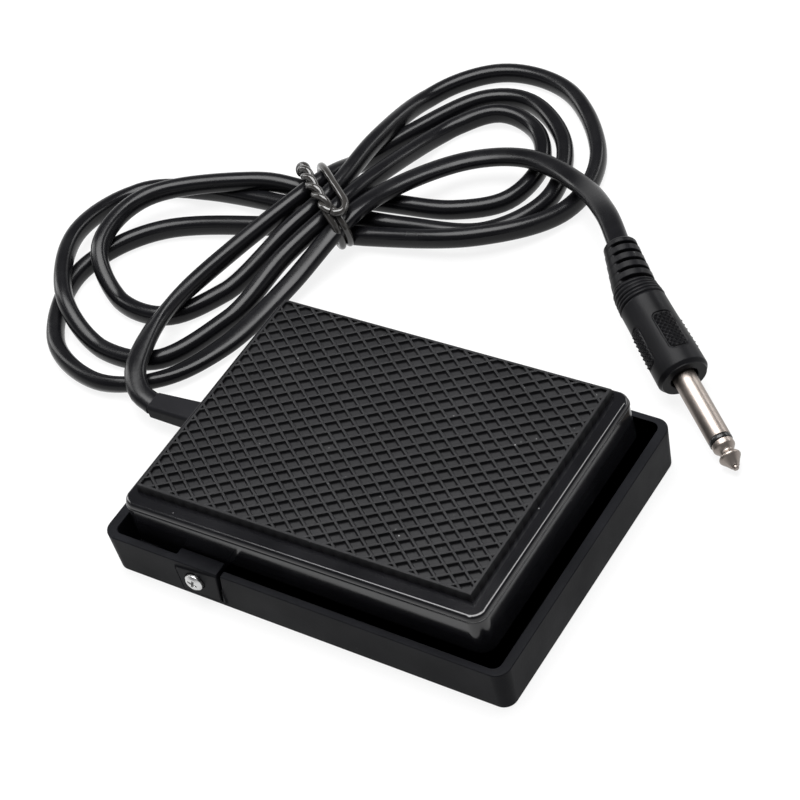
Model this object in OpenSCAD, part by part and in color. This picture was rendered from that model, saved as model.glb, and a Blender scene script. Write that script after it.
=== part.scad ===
// Sustain pedal: a shallow tray, a treadle that rocks in it on two screws, a return spring,
// a momentary switch, and a tied flat cord that ends in a 6.35 mm plug.
// +X points from the hinge end to the toe end, +Z is up, origin at the bottom centre of the tray.

/* [Tray] */
// Length of the tray along X
tray_l = 120; // [110:1:130]
// Width of the tray along Y
tray_w = 88; // [84:1:94]
// Height of the rim above the surface
tray_h = 13.6; // [13:0.1:15]
// Thickness of the end walls at the rim
end_wall_t = 2.9; // [2.4:0.1:3]
// Thickness of the side walls at the rim
side_wall_t = 2.2; // [2:0.1:2.4]
// Radius of the upright corners
tray_r = 4; // [3:0.5:5]
// How much each wall leans out from bottom to rim
tray_draft = 0.6; // [0.2:0.1:1]

/* [Treadle] */
// Length of the treadle along its top
treadle_l = 107.6; // [104:0.2:108]
// Width of the treadle
treadle_w = 78; // [76:0.5:79]
// Height of the treadle's skirt below its top
treadle_h = 14; // [12:0.5:14.5]
// Thickness of the treadle's shell
shell_t = 2.2; // [1.8:0.1:2.6]
// Height of the rear top edge above the surface
treadle_z = 23.1; // [22.6:0.1:24]
// Slope of the treadle at rest, in degrees
tilt = 1.7; // [1:0.1:2.5]

/* [Mat] */
// Length of the rubber mat
mat_l = 99.8; // [96:0.2:101]
// Width of the rubber mat
mat_w = 70.8; // [68:0.2:72]
// Thickness of the rubber mat
mat_t = 2.4; // [1.8:0.1:3]

/* [Hinge] */
// Place of the hinge axis along X
hinge_x = -31.5; // [-34:0.5:-30]
// Height of the hinge axis above the surface
hinge_z = 7.9; // [7.5:0.1:8.4]
// Diameter of the hinge screw's shank
screw_d = 3; // [2.5:0.1:3.5]
// Clearance on the diameter between screw and bush
bush_play = 0.1; // [0.04:0.02:0.16]

/* [Cord and plug] */
// Diameter of the cord as a round tube
cord_d = 5; // [4:0.1:5.2]
// Width of the flat cord
cord_w = 5.4; // [5:0.1:6]
// Thickness of the flat cord
cord_t = 3.8; // [3.4:0.1:4]
// Diameter of the plug's sleeve
plug_d = 6.35; // [6.3:0.01:6.4]
// Length of the plug's moulded handle
handle_l = 46; // [42:0.5:50]

/* [Hidden] */
$fn = 48;
corner_fn = 32;        // facets of a rounded corner inside a hull
gap = 0.3;             // free space between bodies that move
eps = 0.01;            // overlap that keeps a cut open

// Tray
sheet_t = 1;           // rubber sheet under the tray
sheet_inset = 5;       // from the tray's edge to the sheet
tray_z = 0.3;          // the sheet stands this proud of the tray's bottom
floor_z = 2.6;         // top of the tray's floor
pad_proud = 0.3;       // outer pad round each hinge screw
pad_x = [-36.9, -23.4]; // ends of that pad
pad_h = [11.4, 13.1];  // top of that pad at those ends
pad_foot = 2;          // lower edge of that pad
boss_x = [-37.2, -22];  // ends of the boss inside the wall
boss_y = 39.6;         // inner face of the hinge boss
sink_d = 5.6;          // sink round each screw head
sink_t = 0.5;          // depth of that sink
slit_top = [-23.3, -22.1];    // slit beside the hinge, at the rim
slit_bottom = [-25.3, -24.6]; // the same slit, near the floor
slit_z = 1.8;          // lower end of the slit
rib_t = 1.4;           // floor ribs
rib_z = 4.6;           // top of the floor ribs
gusset_z = 11;         // top of the gussets at the toe end

// Hinge
ear_y = 39;            // outer face of the treadle's ears
ear_t = 2.6;           // thickness of the ears
ear_r = 4.4;           // round end of the ears
bush_d = 5.2;          // outer diameter of the bushes
head_d = 5.2;          // pan head of the hinge screws
head_t = 1.7;          // height of the pan head
shank_end_y = 34.8;    // inner end of the screw's shank

// Treadle
treadle_x = -54.5;     // rear top edge
treadle_flare = 0.2;   // how much the skirt leans out at its lower edge
edge_r = 1.1;          // rounding of the treadle's top edge
mat_off = [-0.9, 1.4]; // middle of the mat from the middle of the treadle
mat_r = 1.5;           // corners of the mat
function under_z(x) = treadle_z + (x - treadle_x) * tan(tilt) - shell_t; // underside of the shell

// Spring and stops
spring_x = 22;         // place of the return spring
spring_d = 10;         // mean diameter of its coil
wire_d = 1.1;          // wire of the spring
spring_turns = 7;
spring_z = [3.2, 20.4]; // wire centre at the lower and the upper end
stop_x = 44;           // place of the rubber stops
stop_y = 25;
stop_pad_top = 5.4;
stop_post_z = 11.6;    // lower end of the treadle's stop posts
post_d = 7;

// Switch
switch_x = [-26, -6];  // ends of the switch housing
switch_y = [5.6, 12];  // its faces
switch_z = [8, 18.2];  // its bottom and top
plunger_x = -16.5;     // 15 mm from the hinge axis
plunger_w = 3;
plunger_top = 19.4;
terminal_x = [-23, -9.5];
switch_screw_x = [-20.7, -11.3];
switch_screw_z = 10.6;
switch_screw_d = 2;
bracket_y = 15;        // far face of the wall that carries the switch

// Cord entry
cord_y = 4;            // where the cord leaves the tray
cord_z = 6.5;
sleeve_l = 18.5;       // sleeve outside the tray
sleeve_y = [1, 8.8];   // its sides at the tray
sleeve_t = 5.6;        // its thickness at the tray
sleeve_end_y = [0.8, 7.2]; // its sides at its outer end
sleeve_end_t = 4.8;    // its thickness there
flange_t = 1.1;
entry_end_x = -44;     // inner end of the cord's jacket
clamp_x = -49;
clamp_l = 5;
clamp_w = 21;
clamp_t = 2.2;
clamp_screw_y = [-3.8, 11.8];
clamp_screw_d = 2.4;
lead_d = 1.5;

// The cord's route: it leaves the sleeve, winds three turns of a figure of eight, and ends in the plug
low = 2.8;             // the cord's middle where it lies on the surface
over = 8.4;            // the cord's middle where it lies on another stretch
tied_low = 5;          // lower stretches inside the tie
tied_top = 10.6;       // upper stretches inside the tie
sleeve_end = [-tray_l / 2 - sleeve_l, cord_y, cord_z];
plug_start = [19.7, 92.4, 18.2];
lead_out = [sleeve_end, [-85.5, 6.5, 7.4], [-91.5, 15, over], [-95, 34, over], [-91, 60, over],
            [-80, 93, tied_top]];
turn_1 = [[-77, 112, 4], [-70, 130, low], [-58, 148, low], [-42, 151, low], [-24, 137, 3.5],
          [-18, 116, low], [-29, 98, low], [-53, 92, low], [-81, 87, tied_low],
          [-118, 85, low], [-138, 76, low], [-141, 52, 7.2], [-128, 29, 8], [-109, 19, low],
          [-90, 22, low], [-80, 43, low], [-75, 65, 8], [-69, 86, tied_top]];
turn_2 = [[-67, 103, 8.6], [-62, 131, low], [-50, 143, 4], [-36, 141, low], [-27, 128, low],
          [-29, 112, low], [-42, 103, low], [-60, 99, 3.2], [-82, 94, tied_low],
          [-101, 89, 8.2], [-128, 73, over], [-130, 50, 8.2], [-115, 37, low], [-98, 37, low],
          [-87, 52, low], [-79, 74, 9], [-74, 92, 10.8]];
turn_3 = [[-75, 117, 8.8], [-74, 144, low], [-58, 161, low], [-34, 159, low], [-13, 137, low],
          [-11, 113, 3.2], [-28, 93, 6], [-58, 84, 4.2], [-93, 77, 3.6],
          [-122, 65, low], [-134, 42, low], [-124, 17, low], [-103, 8, low], [-85, 16, low],
          [-75, 34, low], [-70, 58, 4.4], [-64, 82, tied_top]];
tail = [[-59, 100, 9], [-46, 118, 7.4], [-28, 124, 8.6], [-8, 118, 10.4], [8.4, 104.6, 16.4], plug_start];
route = concat(lead_out, turn_1, turn_2, turn_3, tail);
cord_rings = 110;
tube_sides = 8;

// The wires inside, from the cord's jacket to the switch
wire_y = [3, 5];
brown_route = [[entry_end_x - 3, wire_y[1], 6.5], [-40, 6, 6], [-34, 8, 5], [-28, 9.6, 4.2],
               [terminal_x[0], 9.4, 4.8]];
blue_route = [[entry_end_x - 3, wire_y[0], 6.5], [-38, 2, 6], [-28, 0.5, 5], [-18, 1.6, 4.4],
              [-13, 5.6, 4.2], [terminal_x[1], 8.6, 4.8]];

// The tie: a loop in an upright plane across the bundle
tie_mid = [-77, 90];
tie_turn = -37.6;
tie_d = 2.2;
tie_loop = [[-11, 1.25], [0, 1.2], [12, 1.25], [17, 3.5], [18.8, 8], [17.5, 12.5], [11, 14.8],
            [2, 15], [-7, 14.6], [-11.5, 12], [-14.6, 8], [-14.6, 3.5]];

// Plug, measured along its axis from the cord
plug_dip = 12;         // degrees that the tip points down
plug_turn = -47.7;     // degrees about Z, at the bend relief
bend_at = 16;          // from the start of the bend relief to its bend
bend = 9;              // degrees that the handle turns there
pad_turn = 74;         // degrees from the top to the first gripping pad
ring_r = plug_d / 2;   // radius of the insulating ring, flush with the sleeve
boot_rib = 3;          // pitch of the ribs on the boot
boot_ribs = 5;
fine_rib = 1.1;        // pitch of the fine ribs
fine_ribs = 5;
metal_l = 30.5;
ring_at = 20.6;        // front end of the sleeve
ring_t = 1.3;
rod_d = 3;             // rod inside the plug
liner_d = 4.4;         // insulating liner round the rod
root_d = 5.8;          // sleeve inside the handle
grip_l = 16;           // how deep the metal sits in the handle
well_r = 3.9;          // well in the handle's end face
well_t = 2.4;

// ---------------------------------------------------------------- helpers

// A smooth point between p1 and p2
function between(p0, p1, p2, p3, t) = 0.5 * (2 * p1 + (p2 - p0) * t
    + (2 * p0 - 5 * p1 + 4 * p2 - p3) * t * t + (3 * p1 - p0 - 3 * p2 + p3) * t * t * t);
// A point at a place s, from 0 to 1, on the smooth curve through pts
function on_curve(pts, s) = let (
    n = len(pts) - 1,
    i = min(floor(s * n), n - 1),
    t = s * n - i)
    between(i == 0 ? 2 * pts[0] - pts[1] : pts[i - 1], pts[i], pts[i + 1],
            i == n - 1 ? 2 * pts[n] - pts[n - 1] : pts[i + 2], t);
function unit(v) = v / norm(v);
function lifted(p, lowest) = [p[0], p[1], max(p[2], lowest)];
// A ring of points round c, square to the direction dir; aside is a direction the tube never runs in
function ring(c, dir, aside, r, sides) = let (
    u = unit(cross(dir, aside)),
    v = cross(unit(dir), u))
    [for (k = [0 : sides - 1]) c + r * (cos(360 * k / sides) * u + sin(360 * k / sides) * v)];

// A round tube through the points, closed at its ends, or joined end to end when looped
module tube(pts, r, sides, aside = [0, 0, 1], looped = false) {
    n = len(pts);
    dirs = [for (i = [0 : n - 1]) looped ? pts[(i + 1) % n] - pts[(i + n - 1) % n]
        : pts[min(i + 1, n - 1)] - pts[max(i - 1, 0)]];
    spans = looped ? n : n - 1;
    polyhedron(
        points = [for (i = [0 : n - 1]) each ring(pts[i], dirs[i], aside, r, sides)],
        faces = concat(
            [for (i = [0 : spans - 1], k = [0 : sides - 1])
                [i * sides + k, i * sides + (k + 1) % sides,
                 ((i + 1) % n) * sides + (k + 1) % sides, ((i + 1) % n) * sides + k]],
            looped ? [] : [[for (k = [sides - 1 : -1 : 0]) k]],
            looped ? [] : [[for (k = [0 : sides - 1]) (n - 1) * sides + k]]));
}

// A box on the plane z = 0 with rounded corners, d smaller all round at its bottom
module leaning_box(l, w, h, r, d) {
    hull() for (x = [-1, 1], y = [-1, 1])
        translate([x * (l / 2 - r), y * (w / 2 - r), 0]) cylinder(h, r - d, r, $fn = corner_fn);
}

// A flat bar on the plane z = 0 with rounded corners
module round_bar(l, w, h, r) {
    cube_l = l - 2 * r;
    cube_w = w - 2 * r;
    linear_extrude(h) {
        square([cube_l, w], center = true);
        square([l, cube_w], center = true);
        for (x = [-1, 1], y = [-1, 1]) translate([x * cube_l / 2, y * cube_w / 2]) circle(r);
    }
}

module span_box(x, y, z) {
    translate([x[0], y[0], z[0]]) cube([x[1] - x[0], y[1] - y[0], z[1] - z[0]]);
}

// Both sides of the tray
module both_sides() {
    children();
    mirror([0, 1, 0]) children();
}

// A bar of the flat cord's outline along +X
module flat_cord(l) {
    rotate([90, 0, 90]) linear_extrude(l) {
        square([cord_w - cord_t, cord_t], center = true);
        for (y = [-1, 1]) translate([y * (cord_w - cord_t) / 2, 0]) circle(d = cord_t);
    }
}

module in_treadle_plane() {
    translate([treadle_x, 0, treadle_z]) rotate([0, -tilt, 0]) children();
}

module along_relief() {
    translate(plug_start) rotate([0, plug_dip, plug_turn]) children();
}

module along_plug() {
    along_relief() translate([bend_at, 0, 0]) rotate([0, 0, bend]) translate([-bend_at, 0, 0]) children();
}

// A turned shape whose outline is [place along the axis, radius]
module turned(outline) {
    rotate([0, 90, 0]) rotate_extrude() polygon([for (p = outline) [p[1], p[0]]]);
}

// ---------------------------------------------------------------- tray

module hinge_slit() {
    rotate([90, 0, 0]) linear_extrude(tray_w / 2 - boss_y + 6, center = true)
        polygon([[slit_top[0], tray_h + 1], [slit_top[1], tray_h + 1],
                 [slit_bottom[1], slit_z], [slit_bottom[0], slit_z]]);
}

module hinge_side() {
    lean = atan(tray_draft / (tray_h - tray_z));
    translate([0, tray_w / 2 + pad_proud, tray_h]) rotate([90 - lean, 0, 0]) linear_extrude(1.3)
        polygon([[pad_x[0], pad_foot - tray_h], [pad_x[1], pad_foot - tray_h],
                 [pad_x[1], pad_h[1] - tray_h], [pad_x[0], pad_h[0] - tray_h]]);
    span_box(boss_x, [boss_y, tray_w / 2 - 1.5], [floor_z - 1, tray_h]);
}

// Low ribs on the floor, each with a gusset against the toe end's wall
module floor_ribs() {
    end_x = tray_l / 2 - 2;
    both_sides() {
        span_box([-4, end_x], [34, 34 + rib_t], [floor_z - eps, rib_z]);
        span_box([54.8, end_x], [34, 34 + rib_t], [floor_z, gusset_z]);
        span_box([32, end_x], [12, 12 + rib_t], [floor_z - eps, rib_z]);
    }
}

// The treadle's rear edge rests on these
module rest_posts() {
    both_sides() span_box([-56.6, -52.6], [22, 28], [floor_z - eps, treadle_z - treadle_h - gap]);
}

module spring_seat() {
    translate([spring_x, 0, 0]) {
        difference() {
            cylinder(h = 4.6, d = spring_d + wire_d + 3.4);
            translate([0, 0, floor_z]) cylinder(h = 5, d = spring_d + wire_d + 0.6);
        }
        cylinder(h = 6.4, d = spring_d - wire_d - 0.8);
    }
}

module switch_bracket() {
    difference() {
        span_box([switch_x[0] - 1, switch_x[1] + 1], [switch_y[1], bracket_y], [floor_z - eps, 14]);
        for (x = switch_screw_x) translate([x, bracket_y + 1, switch_screw_z])
            rotate([90, 0, 0]) cylinder(h = 5, d = switch_screw_d);
    }
}

module clamp_posts() {
    for (y = clamp_screw_y) translate([clamp_x, y, floor_z - eps]) difference() {
        cylinder(h = cord_z + cord_t / 2 - floor_z, d = 5);
        translate([0, 0, 1]) cylinder(h = 10, d = clamp_screw_d);
    }
    span_box([clamp_x - 3, clamp_x + 3], [cord_y - 4, cord_y + 4], [floor_z - eps, cord_z - cord_t / 2]);
}

module base_tray() {
    color([0.09, 0.09, 0.1]) difference() {
        union() {
            difference() {
                translate([0, 0, tray_z]) leaning_box(tray_l, tray_w, tray_h - tray_z, tray_r, tray_draft);
                translate([0, 0, floor_z]) leaning_box(tray_l - 2 * end_wall_t, tray_w - 2 * side_wall_t,
                    tray_h - floor_z + eps, 2, 0.2);
            }
            both_sides() hinge_side();
            floor_ribs();
            rest_posts();
            spring_seat();
            switch_bracket();
            clamp_posts();
        }
        translate([0, 0, -1]) round_bar(tray_l - 2 * sheet_inset, tray_w - 2 * sheet_inset, sheet_t + 1, 5);
        both_sides() {
            translate([0, tray_w / 2, 0]) hinge_slit();
            translate([hinge_x, boss_y - 1, hinge_z]) rotate([-90, 0, 0]) cylinder(h = 10, d = screw_d);
            translate([hinge_x, tray_w / 2 + pad_proud - sink_t, hinge_z]) rotate([-90, 0, 0])
                cylinder(h = 5, d = sink_d);
        }
        span_box([-tray_l / 2 - 1, -tray_l / 2 + end_wall_t + 1],
            sleeve_y, [cord_z - sleeve_t / 2, cord_z + sleeve_t / 2]);
        for (x = [-1, 1]) translate([stop_x, x * stop_y, sheet_t + 0.6]) cylinder(h = 3, d = 4);
    }
}

module foot_sheet() {
    color([0.12, 0.12, 0.12])
        round_bar(tray_l - 2 * sheet_inset - 0.4, tray_w - 2 * sheet_inset - 0.4, sheet_t, 4.8);
}

module stop_pads() {
    color([0.16, 0.16, 0.16]) for (y = [-1, 1]) translate([stop_x, y * stop_y, 0]) {
        translate([0, 0, floor_z]) cylinder(h = stop_pad_top - floor_z, d = 9);
        translate([0, 0, sheet_t + 0.6]) cylinder(h = 2, d = 4);
    }
}

// ---------------------------------------------------------------- treadle

module treadle_block(inset, top_cut, drop) {
    l = treadle_l - 2 * inset;
    w = treadle_w - 2 * inset;
    r = max(4 - inset, 1.5);
    outline = concat([[0, -drop], [r + treadle_flare, -drop]],
        [for (a = [0 : 22.5 : 90]) [r - edge_r * (1 - cos(a)), -top_cut - edge_r * (1 - sin(a))]],
        [[0, -top_cut]]);
    translate([treadle_l / 2, 0, 0]) hull() for (x = [-1, 1], y = [-1, 1])
        translate([x * (l / 2 - r), y * (w / 2 - r), 0])
            rotate_extrude($fn = corner_fn) polygon(outline);
}

module hinge_ear() {
    translate([0, ear_y - ear_t, 0]) {
        translate([hinge_x, 0, hinge_z]) rotate([-90, 0, 0]) cylinder(h = ear_t, r = ear_r);
        translate([hinge_x - ear_r, 0, hinge_z]) cube([2 * ear_r, ear_t, 11]);
    }
}

module treadle_posts() {
    for (y = [-1, 1]) translate([stop_x, y * stop_y, stop_post_z])
        cylinder(h = under_z(stop_x) - stop_post_z + 0.4, d = post_d);
    translate([spring_x, 0, 0]) {
        difference() {
            translate([0, 0, 19.3]) cylinder(h = 4.6, d = spring_d + wire_d + 3);
            translate([0, 0, 19]) cylinder(h = 2, d = spring_d + wire_d + 0.6);
        }
        translate([0, 0, 17.6]) cylinder(h = 5, d = spring_d - wire_d - 0.8);
    }
    span_box([plunger_x - 2, plunger_x + 2], [switch_y[0] + 0.8, switch_y[1] - 0.8],
        [plunger_top + 0.2, under_z(plunger_x) + 0.4]);
}

module treadle_ribs() {
    rib_h = 3;
    for (y = [-18, 18]) in_treadle_plane()
        translate([2, y, -shell_t - rib_h]) cube([treadle_l - 4, rib_t, rib_h + 0.4]);
    in_treadle_plane() translate([60, -treadle_w / 2 + 1, -shell_t - rib_h])
        cube([rib_t, treadle_w - 2, rib_h + 0.4]);
}

module treadle() {
    color([0.05, 0.05, 0.055]) difference() {
        union() {
            difference() {
                in_treadle_plane() treadle_block(0, 0, treadle_h);
                in_treadle_plane() treadle_block(shell_t, shell_t, treadle_h + 1);
            }
            both_sides() hinge_ear();
            treadle_posts();
            treadle_ribs();
        }
        both_sides() translate([hinge_x, ear_y - ear_t - 1, hinge_z]) rotate([-90, 0, 0])
            cylinder(h = ear_t + 2, d = bush_d);
    }
}

module tread_mat() {
    color([0.2, 0.2, 0.2]) in_treadle_plane()
        translate([treadle_l / 2 + mat_off[0], mat_off[1], 0]) round_bar(mat_l, mat_w, mat_t, mat_r);
}

module pivot_bushes() {
    color([0.8, 0.68, 0.4]) both_sides() translate([hinge_x, ear_y - ear_t, hinge_z])
        rotate([-90, 0, 0]) difference() {
            cylinder(h = ear_t, d = bush_d);
            translate([0, 0, -1]) cylinder(h = ear_t + 2, d = screw_d + bush_play);
        }
}

module pivot_screws() {
    head_y = tray_w / 2 + pad_proud - sink_t;
    color("silver") both_sides() translate([hinge_x, 0, hinge_z]) difference() {
        union() {
            translate([0, shank_end_y, 0]) rotate([-90, 0, 0])
                cylinder(h = head_y - shank_end_y, d = screw_d);
            translate([0, head_y, 0]) rotate([-90, 0, 0]) cylinder(h = head_t - 0.6, d = head_d);
            translate([0, head_y + head_t - 0.6, 0]) rotate([-90, 0, 0])
                cylinder(h = 0.6, d1 = head_d, d2 = head_d - 1.4);
        }
        for (a = [0, 90]) rotate([0, a + 20, 0])
            translate([-1.5, head_y + 0.7, -0.35]) cube([3, head_t, 0.7]);
    }
}

module return_spring() {
    steps = spring_turns * 14;
    rise = spring_z[1] - spring_z[0];
    color([0.75, 0.75, 0.78]) translate([spring_x, 0, spring_z[0]])
        tube([for (i = [0 : steps]) let (a = 360 * spring_turns * i / steps)
            [cos(a) * spring_d / 2, sin(a) * spring_d / 2, rise * i / steps]], wire_d / 2, 6);
}

// ---------------------------------------------------------------- switch

module switch_body() {
    color([0.1, 0.1, 0.35]) difference() {
        span_box(switch_x, switch_y, switch_z);
        span_box([plunger_x - plunger_w / 2 - 0.15, plunger_x + plunger_w / 2 + 0.15],
            [switch_y[0] + 1.5, switch_y[1] - 1.5], [switch_z[1] - 4, switch_z[1] + 1]);
        for (x = switch_screw_x) translate([x, switch_y[1] + 1, switch_screw_z])
            rotate([90, 0, 0]) cylinder(h = 12, d = switch_screw_d + 0.4);
    }
}

module switch_plunger() {
    color([0.75, 0.1, 0.1]) translate([plunger_x, (switch_y[0] + switch_y[1]) / 2, 0]) {
        span_box([-plunger_w / 2, plunger_w / 2], [-1.5, 1.5], [switch_z[1] - 2.4, plunger_top - 0.5]);
        translate([0, 1.5, plunger_top - 1.5]) rotate([90, 0, 0]) cylinder(h = 3, r = 1.5);
    }
}

module switch_terminals() {
    mid = (switch_y[0] + switch_y[1]) / 2;
    color([0.8, 0.65, 0.25]) for (x = terminal_x) difference() {
        span_box([x, x + 0.6], [mid - 1.6, mid + 1.6], [switch_z[0] - 4, switch_z[0]]);
        translate([x - 1, mid, switch_z[0] - 2.4]) rotate([0, 90, 0]) cylinder(h = 3, d = 1.2);
    }
}

module switch_screws() {
    color("silver") for (x = switch_screw_x) translate([x, 0, switch_screw_z]) difference() {
        union() {
            translate([0, bracket_y - 0.6, 0]) rotate([90, 0, 0])
                cylinder(h = bracket_y - 0.6 - switch_y[0], d = switch_screw_d);
            translate([0, switch_y[0], 0]) rotate([90, 0, 0]) cylinder(h = 1.3, d = 3.8);
        }
        translate([-2.5, switch_y[0] - 1.4, -0.3]) cube([5, 0.7, 0.6]);
    }
}

// ---------------------------------------------------------------- cord

module cord_sleeve() {
    in_wall = -tray_l / 2 + end_wall_t;
    color([0.16, 0.16, 0.17]) difference() {
        union() {
            hull() {
                sleeve_slice(sleeve_end[0], sleeve_end_y, sleeve_end_t);
                sleeve_slice(-tray_l / 2 - 0.1, sleeve_y, sleeve_t);
            }
            span_box([-tray_l / 2 - 0.1, in_wall + eps], sleeve_y,
                [cord_z - sleeve_t / 2, cord_z + sleeve_t / 2]);
            span_box([in_wall, in_wall + flange_t], [sleeve_y[0] - 1.5, sleeve_y[1] + 1.5],
                [cord_z - sleeve_t / 2 - 1, cord_z + sleeve_t / 2 + 1]);
        }
        translate([sleeve_end[0] - 1, cord_y, cord_z]) flat_cord(sleeve_l + 10);
    }
}

// A thin slice across the strain relief, with rounded edges
module sleeve_slice(x, y, t) {
    r = 1.2;
    for (cy = [y[0] + r, y[1] - r], cz = [cord_z - t / 2 + r, cord_z + t / 2 - r])
        translate([x, cy, cz]) rotate([0, 90, 0]) cylinder(h = 0.1, r = r, $fn = corner_fn);
}

module cord_entry() {
    color([0.04, 0.04, 0.04]) translate(sleeve_end) flat_cord(entry_end_x - sleeve_end[0]);
}

module cord_clamp() {
    color([0.12, 0.12, 0.12]) difference() {
        translate([clamp_x, cord_y, cord_z + cord_t / 2]) round_bar(clamp_l, clamp_w, clamp_t, 1.5);
        for (y = clamp_screw_y) translate([clamp_x, y, 0]) cylinder(h = 20, d = clamp_screw_d + 0.2);
    }
}

module clamp_screws() {
    top = cord_z + cord_t / 2 + clamp_t;
    color("silver") for (y = clamp_screw_y) translate([clamp_x, y, 0]) difference() {
        union() {
            translate([0, 0, floor_z + 1.4]) cylinder(h = top - floor_z - 1.4, d = clamp_screw_d);
            translate([0, 0, top]) cylinder(h = 1.5, d = 4.4);
        }
        translate([-2.5, -0.35, top + 0.8]) cube([5, 0.7, 1]);
    }
}

module inner_wire(points) {
    rings = 16;
    tube([for (i = [0 : rings - 1]) on_curve(points, i / (rings - 1))], lead_d / 2, 8);
}

module lead_brown() { color([0.35, 0.18, 0.08]) inner_wire(brown_route); }

module lead_blue() { color([0.1, 0.25, 0.6]) inner_wire(blue_route); }

module cord() {
    color([0.04, 0.04, 0.04])
        tube([for (i = [0 : cord_rings - 1]) lifted(on_curve(route, i / (cord_rings - 1)), cord_d / 2 + 0.1)],
            cord_d / 2, tube_sides);
}

module twist_tie() {
    color([0.2, 0.2, 0.2]) translate([tie_mid[0], tie_mid[1], 0]) rotate([0, 0, tie_turn])
        tube([for (p = tie_loop) [p[0], 0, p[1]]], tie_d / 2, 8, [0, 1, 0], looped = true);
}

// ---------------------------------------------------------------- plug

relief_outline = concat([[0, 0], [0, 4.2]],
    [for (i = [0 : boot_ribs - 1]) each let (a = i * boot_rib, r = 4.6 + 0.3 * i)
        [[a + 0.3, r], [a + 1.9, r + 0.1], [a + 2.1, r - 1], [a + 2.9, r - 0.9]]],
    [[bend_at + 1.5, 5.2], [bend_at + 1.5, 0]]);

handle_outline = concat([[boot_rib * boot_ribs, 0], [boot_rib * boot_ribs, 5.4]],
    [for (i = [0 : fine_ribs - 1]) each let (a = boot_rib * boot_ribs + i * fine_rib, r = 6.0 + 0.1 * i)
        [[a + 0.1, r], [a + 0.6, r], [a + 0.7, r - 0.3], [a + 1, r - 0.3]]],
    [[20.6, 6.5], [30, 6.75], [40, 7], [handle_l - 1.2, 7.1], [handle_l - 0.4, 6.8], [handle_l, 6.1],
     [handle_l, well_r], [handle_l - well_t, well_r], [handle_l - well_t, root_d / 2],
     [handle_l - grip_l, root_d / 2], [handle_l - grip_l, 0]]);

module plug_handle() {
    pad_depth = 0.45;
    pad_at = 34.2;
    color([0.06, 0.06, 0.065]) along_relief() turned(relief_outline);
    color([0.06, 0.06, 0.065]) along_plug() difference() {
        turned(handle_outline);
        for (a = [0 : 90 : 270]) rotate([a + pad_turn, 0, 0]) translate([pad_at, 0, 6.85 - pad_depth])
            round_bar(12, 5.4, 2, 1.4);
    }
}

module plug_sleeve() {
    color([0.8, 0.78, 0.76]) along_plug() difference() {
        turned([[handle_l - grip_l, 0], [handle_l - grip_l, root_d / 2], [handle_l - well_t, root_d / 2],
                [handle_l - well_t, plug_d / 2], [handle_l + ring_at, plug_d / 2], [handle_l + ring_at, 0]]);
        turned([[handle_l - grip_l - 1, 0], [handle_l - grip_l - 1, liner_d / 2],
                [handle_l + ring_at + 1, liner_d / 2], [handle_l + ring_at + 1, 0]]);
    }
}

module plug_insulator() {
    color([0.05, 0.05, 0.05]) along_plug() difference() {
        turned([[handle_l - grip_l, 0], [handle_l - grip_l, liner_d / 2], [handle_l + ring_at, liner_d / 2],
                [handle_l + ring_at, ring_r], [handle_l + ring_at + ring_t, ring_r],
                [handle_l + ring_at + ring_t, 0]]);
        turned([[handle_l - grip_l - 1, 0], [handle_l - grip_l - 1, rod_d / 2],
                [handle_l + metal_l, rod_d / 2], [handle_l + metal_l, 0]]);
    }
}

module plug_tip() {
    tip_start = handle_l + ring_at + ring_t;
    tip_end = handle_l + metal_l;
    color([0.82, 0.8, 0.78]) along_plug()
        turned([[handle_l - grip_l, 0], [handle_l - grip_l, rod_d / 2], [tip_start, rod_d / 2],
                [tip_start, 3], [tip_start + 1.5, 3], [tip_start + 2.4, 2.4], [tip_start + 3.2, 1.95],
                [tip_start + 4.1, 2.7], [tip_start + 4.6, 2.95], [tip_start + 5, 2.95],
                [tip_end - 0.9, 0.95], [tip_end - 0.3, 0.75], [tip_end, 0.4], [tip_end, 0]]);
}

base_tray();
foot_sheet();
treadle();
tread_mat();
pivot_screws();
pivot_bushes();
return_spring();
stop_pads();
switch_body();
switch_plunger();
switch_terminals();
switch_screws();
cord_sleeve();
cord_entry();
cord_clamp();
clamp_screws();
lead_brown();
lead_blue();
cord();
twist_tie();
plug_handle();
plug_sleeve();
plug_insulator();
plug_tip();
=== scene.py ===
import math

import bmesh
import bpy
from mathutils import Matrix, Vector


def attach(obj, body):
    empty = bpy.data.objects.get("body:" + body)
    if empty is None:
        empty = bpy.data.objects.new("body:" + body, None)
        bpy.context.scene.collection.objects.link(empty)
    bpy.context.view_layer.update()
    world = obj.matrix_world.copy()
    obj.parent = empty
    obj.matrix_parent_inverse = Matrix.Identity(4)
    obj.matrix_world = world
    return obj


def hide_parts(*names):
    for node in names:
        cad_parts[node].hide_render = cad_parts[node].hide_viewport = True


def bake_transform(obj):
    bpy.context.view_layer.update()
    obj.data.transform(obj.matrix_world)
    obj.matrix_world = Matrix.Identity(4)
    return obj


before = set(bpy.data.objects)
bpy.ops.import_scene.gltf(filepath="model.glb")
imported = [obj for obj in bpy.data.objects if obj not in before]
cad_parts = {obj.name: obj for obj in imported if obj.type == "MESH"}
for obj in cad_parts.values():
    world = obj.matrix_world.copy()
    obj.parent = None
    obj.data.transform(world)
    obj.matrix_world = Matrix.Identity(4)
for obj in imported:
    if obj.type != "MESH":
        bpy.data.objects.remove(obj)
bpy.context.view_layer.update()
scene = bpy.context.scene
MM = 0.001

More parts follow.
